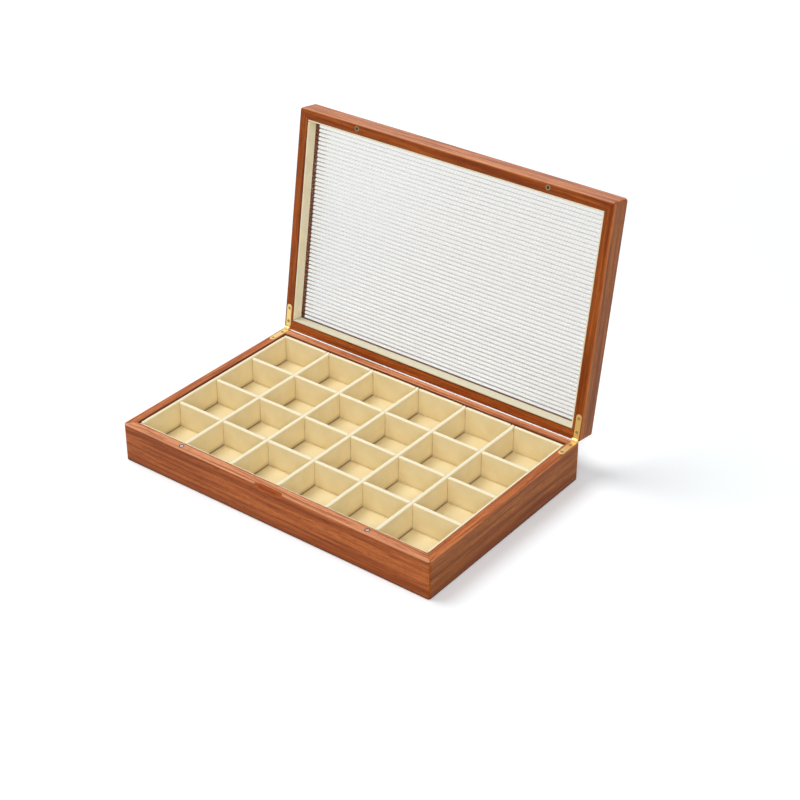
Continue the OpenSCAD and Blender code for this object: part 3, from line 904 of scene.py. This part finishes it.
class RINGBOX_OT_tray_floor(Operator):
    """Make the tray's padded floor"""

    bl_idname = "ringbox.tray_floor"
    bl_label = "Make the tray's floor"

    def execute(self, context):
        fabric = context.scene.ringbox_fabric
        low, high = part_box("tray_floor")
        xs = self.cuts(low.x, high.x, COLUMN_XS)
        ys = self.cuts(low.y, high.y, ROW_YS)
        floor = add_object("tray_floor_pad", self.quilt(fabric, low.z, high.z, xs, ys))
        wear(floor, fabric_finish(fabric, "cream_floor_fabric", (fabric.colour, fabric.shade)))
        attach(floor, "base")
        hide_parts("tray_floor")
        return {"FINISHED"}

    def cuts(self, start, end, lines):
        """Grid lines, close together beside the dividers and wider inside the cells."""
        edges = [start] + [e for line in lines for e in (line - DIVIDER_HALF, line + DIVIDER_HALF)] + [end]
        found = set()
        for a, b in zip(edges, edges[1:]):
            wide = b - a
            found.update(a + d for d in GRID_NEAR if d < wide / 2)
            found.update(b - d for d in GRID_NEAR if d < wide / 2)
            count = max(1, round(wide / MESH_STEP))
            even = [wide * i / count for i in range(1, count)]
            found.update(a + d for d in even if GRID_NEAR[-1] < d < wide - GRID_NEAR[-1])
        return sorted(found)

    def gap(self, value, lines, end):
        """Distance to the nearest divider or lining, across the cells."""
        nearest = min([abs(value - line) - DIVIDER_HALF for line in lines] + [end - abs(value)])
        return max(nearest, 0.0)

    def quilt(self, fabric, foot, top, xs, ys):
        """Slab whose top dips beside the dividers and swells in each cell."""
        pairs, crease_shades = [], []
        for y in ys:
            for x in xs:
                to_column, to_row = self.gap(x, COLUMN_XS, TRAY_X), self.gap(y, ROW_YS, TRAY_Y)
                # Painted shade in the folds beside the dividers
                fold = max(COLUMN_CREASE_SHADE * (1 - to_column / fabric.crease_reach),
                           ROW_CREASE_SHADE * (1 - to_row / fabric.crease_reach))
                crease_shades += [max(0.0, fold), 0.0]
                rise = fabric.floor_swell * (1 - math.exp(-min(to_column, to_row) / SWELL_REACH))
                rise -= COLUMN_DIP if to_column < to_row else ROW_DIP
                at = Vector((x * WAVES_PER_METRE, y * WAVES_PER_METRE, FLOOR_SLICE))
                pairs.append(((x, y, top + rise + FLOOR_WAVE * noise.noise(at)), (x, y, foot)))
        mesh = slab("tray_floor_pad", len(xs), pairs, smooth=True)
        mark_crease_shades(mesh, crease_shades)
        return mesh


class RINGBOX_OT_tray_linings(Operator):
    """Make the tray's four padded side linings"""

    bl_idname = "ringbox.tray_linings"
    bl_label = "Make the tray's side linings"

    def execute(self, context):
        fabric = context.scene.ringbox_fabric
        foot, top = [corner.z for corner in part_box("tray_back_lining")]
        notch = (foot, end_foot(COLUMNS[0]) - SLOT_PLAY)
        material = fabric_finish(fabric, "cream_lining_fabric", (fabric.colour, fabric.shade), top)
        for seed, side in enumerate(SIDES, LINING_SEED):
            node = f"tray_{side}_lining"
            low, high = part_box(node)
            size = high - low
            length, crossings = (size.x, COLUMN_XS) if side in ("front", "back") else (size.y, [])
            stations = slotted_board(-length / 2, length / 2, low.z, high.z, crossings,
                                     DIVIDER_HALF + SLOT_PLAY, notch, fabric)
            if side == "front":
                for station in stations:
                    from_left = station.along / length + 0.5
                    sunk = fabric.front_sag * (SAG_AT_LEFT + (1 - SAG_AT_LEFT) * from_left)
                    station.top = min(station.top, high.z - sunk)
            tray_board(fabric, material, node, stations, seed)
        return {"FINISHED"}


def end_foot(node):
    """Lowest height of a column divider's end, where it lies in the lining's notch."""
    near_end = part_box(node)[1].y - END_REACH
    return min(v.co.z for v in frame["nodes"][node].data.vertices if v.co.y > near_end)


class RINGBOX_OT_dividers(Operator):
    """Make the tray's padded dividers"""

    bl_idname = "ringbox.dividers"
    bl_label = "Make the dividers"

    def execute(self, context):
        fabric = context.scene.ringbox_fabric
        material = fabric_finish(fabric, "cream_divider_fabric", (fabric.colour, fabric.shade),
                                 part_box(ROWS[0])[1].z)
        for seed, node in enumerate(COLUMNS, COLUMN_SEED):
            low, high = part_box(node)
            upper = ((low.z + high.z) / 2, high.z)
            half = (high.x - low.x) / 2
            stations = slotted_board(-TRAY_Y, TRAY_Y, low.z, high.z, ROW_YS, half, upper, fabric)
            lap = self.lapped_end(TRAY_Y, high.y, end_foot(node), high.z, fabric)
            near = [Station(-s.along, s.foot, s.top, s.draw_in) for s in reversed(lap)]
            tray_board(fabric, material, node, near + stations + lap, seed)
        for seed, node in enumerate(ROWS, ROW_SEED):
            low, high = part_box(node)
            lower = (low.z, (low.z + high.z) / 2)
            half = (high.y - low.y) / 2
            stations = slotted_board(low.x, high.x, low.z, high.z, COLUMN_XS, half, lower, fabric)
            tray_board(fabric, material, node, stations, seed)
        return {"FINISHED"}

    def lapped_end(self, start, end, foot, top, fabric):
        """Stations of a column divider's end, which rises a little over the lining."""
        lift, r = fabric.end_lift, fabric.foot_round
        found = [Station(start + along, foot, top + lift * share) for along, share in LAP_STARTS]
        for a in quarter_turn(END_STEPS):
            draw = r - r * math.cos(a)
            found.append(Station(end - r + r * math.sin(a), foot, top + lift - draw * LAP_DROP, draw))
        return found


class RINGBOX_OT_lid_linings(Operator):
    """Make the four fabric strips inside the lid"""

    bl_idname = "ringbox.lid_linings"
    bl_label = "Make the lid's strips"

    def execute(self, context):
        fabric = context.scene.ringbox_fabric
        pale = fabric_finish(fabric, "cream_lid_fabric", (fabric.pale, fabric.colour), opened=True)
        # Painted shade on the strip by the hinges
        shaded = fabric_finish(fabric, "shaded_lid_fabric", (fabric.strip, fabric.strip), opened=True)
        for seed, side in enumerate(SIDES, STRIP_SEED):
            node = f"lid_{side}_lining"
            low, high = closed_box(node)
            to_world, length, half_t, _lies_x = board_place(low, high)
            stations = full_run(-length / 2, length / 2, low.z, high.z, fabric)
            material = shaded if side == "back" else pale
            fabric_piece(f"{node}_strip", material, "lid", node, fabric, stations, half_t,
                         OPENED @ to_world, seed, STRIP_ROUND, (fabric.foot_round, 0.0))
        return {"FINISHED"}


class RINGBOX_OT_panel(Operator):
    """Finish the lid's clear ribbed panel"""

    bl_idname = "ringbox.panel"
    bl_label = "Finish the clear panel"

    def execute(self, context):
        clear = context.scene.ringbox_panel
        made = Finish("clear_ribbed_plastic")
        low, high = closed_box("lid_ribbed_panel")
        ribs = int((high.y - low.y) / clear.rib_pitch)
        _x, y, z = made.parts(made.place(Euler((OPEN_ANGLE, 0, 0)), shut_offset(OPEN_ANGLE)))
        # Painted shade along the groove between two ribs
        turns = made.math("ADD", made.math("MULTIPLY", y, 1 / clear.rib_pitch), 0.5 + 0.5 * (ribs % 2))
        off = made.math("ABSOLUTE", made.math("SUBTRACT", made.math("FRACT", turns), 0.5))
        reach = clear.line_width / clear.rib_pitch
        line = made.fade(off, *[reach * part for part in RIB_LINE])
        line = made.math("MULTIPLY", line, made.math("GREATER_THAN", z, (low.z + high.z) / 2))
        made.set(Base_Color=made.mix(line, clear.tint, clear.line), IOR=clear.ior, Transmission_Weight=1.0,
                 Roughness=clear.roughness)
        shadow = made.node("LightPath").outputs["Is Shadow Ray"]
        through = made.node("BsdfTransparent").outputs[0]
        made.feed(made.surface, made.choose(shadow, made.shader.outputs[0], through))
        wear(frame["nodes"]["lid_ribbed_panel"], made.material)
        return {"FINISHED"}


class RINGBOX_OT_hinges(Operator):
    """Finish the hinges and their screws in brass"""

    bl_idname = "ringbox.hinges"
    bl_label = "Finish the hinges"

    def execute(self, context):
        metal = context.scene.ringbox_metal
        brass = metal_finish(metal, "polished_brass", metal.brass, metal.brass_roughness)
        dark = metal_finish(metal, "screw_brass", metal.screw, metal.brass_roughness + SCREWS_ROUGHER)
        for node in names_with("hinge_"):
            wear(frame["nodes"][node], brass)
        for node in names_with("base_hinge_screws") + names_with("lid_hinge_screws"):
            wear(frame["nodes"][node], dark)
        return {"FINISHED"}


class RINGBOX_OT_magnets(Operator):
    """Finish the magnets in nickel, bright in the base and dull in the lid"""

    bl_idname = "ringbox.magnets"
    bl_label = "Finish the magnets"

    def execute(self, context):
        metal = context.scene.ringbox_metal
        # Painted shadow: the dark ring round each base magnet and the dark middle of each lid magnet stand
        # for the shade in their holes
        for node in names_with("base_magnet_"):
            plating = self.disc(node, metal.nickel, metal.shadow, BASE_MAGNET_CORE, False)
            wear(frame["nodes"][node], plating)
        for node in names_with("lid_magnet_"):
            plating = self.disc(node, metal.shadow, metal.worn, LID_MAGNET_CORE, True)
            wear(frame["nodes"][node], plating)
        return {"FINISHED"}

    def disc(self, node, inside, outside, core, opened):
        """Round plating whose colour changes at the core, which is a share of its radius."""
        low, high = closed_box(node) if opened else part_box(node)
        middle = (low + high) / 2
        radius = (high.x - low.x) / 2
        turn = OPEN_ANGLE if opened else 0.0
        made = Finish("plating_" + node)
        x, y, _z = made.parts(made.place(Euler((turn, 0, 0)), shut_offset(turn)))
        squares = [made.math("POWER", made.math("SUBTRACT", at, centre), 2.0)
                   for at, centre in ((x, middle.x), (y, middle.y))]
        off = made.math("SQRT", made.math("ADD", *squares))
        ring = made.band(off, radius * (core - MAGNET_SOFT), radius * (core + MAGNET_SOFT))
        scratched = made.noise(made.place(), scale=2500, detail=2.0)
        made.set(Base_Color=made.mix(ring, inside, outside), Metallic=0.6,
                 Roughness=made.band(scratched, *NOISE_RANGE, *MAGNET_ROUGHNESS))
        return made.material


class RINGBOX_OT_stage(Operator):
    """Set up the camera, the pale floor and the light"""

    bl_idname = "ringbox.stage"
    bl_label = "Set the stage"

    def execute(self, context):
        stage = context.scene.ringbox_stage
        self.camera(context.scene, stage)
        self.floor(stage)
        self.sky(context.scene, stage)
        self.lamp("key_lamp", stage.key, **KEY_LAMP)
        self.lamp("fill_lamp", stage.fill, **FILL_LAMP)
        context.scene.view_settings.view_transform = "Standard"
        return {"FINISHED"}

    def camera(self, scene, stage):
        data = bpy.data.cameras.new("camera")
        data.sensor_width = 36
        data.lens = stage.lens
        data.clip_start = 0.05
        eye = add_object("camera", data)
        turned = Euler((math.pi / 2 - stage.elevation, 0, stage.azimuth)).to_matrix().to_4x4()
        tilted = turned @ Matrix.Rotation(stage.roll, 4, "Z")
        back = turned @ Vector((0, 0, stage.distance))
        eye.matrix_world = Matrix.Translation(Vector(stage.target) + back) @ tilted
        scene.camera = eye

    def floor(self, stage):
        """White floor that keeps the box's shadow and throws a plain grey light back on the box."""
        half = stage.floor_size / 2
        mesh = bpy.data.meshes.new("studio_floor")
        corners = [(-half, -half, 0), (half, -half, 0), (half, half, 0), (-half, half, 0)]
        mesh.from_pydata(corners, [], [(0, 1, 2, 3)])
        floor = add_object("studio_floor", mesh)
        floor.location.z = -FLOOR_DROP
        made = Finish("white_paper")
        bounce = made.node("BsdfDiffuse", {"Color": BOUNCE})
        paper = made.node("BsdfDiffuse", {"Color": (*stage.paper, 1)})
        away = made.node("VectorMath", {0: made.place()}, operation="LENGTH").outputs["Value"]
        strength = made.band(away, GLOW_START, GLOW_END, stage.near_glow, stage.far_glow)
        glow = made.node("Emission", {"Strength": strength})
        shown = made.node("AddShader", {0: paper.outputs[0], 1: glow.outputs[0]})
        made.feed(made.surface, made.choose(made.seen(), bounce.outputs[0], shown.outputs[0]))
        wear(floor, made.material)

    def sky(self, scene, stage):
        """Even light from all round, behind which the backdrop shows pure white."""
        world = bpy.data.worlds.new("white_studio")
        made = Nodes(world, "Background", "World Output")
        made.set(Color=WHITE, Strength=stage.sky)
        backdrop = made.node("Background", {"Color": WHITE, "Strength": 1.0})
        made.feed(made.surface, made.choose(made.seen(), made.shader.outputs[0], backdrop.outputs[0]))
        scene.world = world

    def lamp(self, name, brightness, size, place):
        """Round soft lamp that lights a face square to it to the brightness given."""
        data = bpy.data.lights.new(name, "AREA")
        data.shape = "DISK"
        data.size = size
        data.energy = brightness * (math.pi * Vector(place).length) ** 2
        lamp = add_object(name, data)
        lamp.location = place
        lamp.rotation_euler = (-Vector(place)).to_track_quat("-Z", "Y").to_euler()


OPERATORS = (RINGBOX_OT_wood, RINGBOX_OT_underside, RINGBOX_OT_tray_floor, RINGBOX_OT_tray_linings,
             RINGBOX_OT_dividers, RINGBOX_OT_lid_linings, RINGBOX_OT_panel, RINGBOX_OT_hinges,
             RINGBOX_OT_magnets, RINGBOX_OT_stage)


class RINGBOX_PT_sidebar(Panel):
    """Buttons for each piece of the box"""

    bl_label = "Ring display box"
    bl_idname = "RINGBOX_PT_sidebar"
    bl_space_type = "VIEW_3D"
    bl_region_type = "UI"
    bl_category = "Ring Box"

    def draw(self, context):
        for operator in OPERATORS:
            self.layout.operator(operator.bl_idname)
        for group in GROUPS:
            settings = getattr(context.scene, group)
            box = self.layout.box()
            for name in settings.__annotations__:
                box.prop(settings, name)


CLASSES = (*GROUPS.values(), *OPERATORS, RINGBOX_PT_sidebar)


def register():
    for cls in CLASSES:
        bpy.utils.register_class(cls)
    for name, group in GROUPS.items():
        setattr(bpy.types.Scene, name, PointerProperty(type=group))


def unregister():
    for name in GROUPS:
        delattr(bpy.types.Scene, name)
    for cls in reversed(CLASSES):
        bpy.utils.unregister_class(cls)


def main():
    register()
    for operator in OPERATORS:
        group, name = operator.bl_idname.split(".")
        getattr(getattr(bpy.ops, group), name)()
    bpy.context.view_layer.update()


if __name__ == "__main__":
    main()
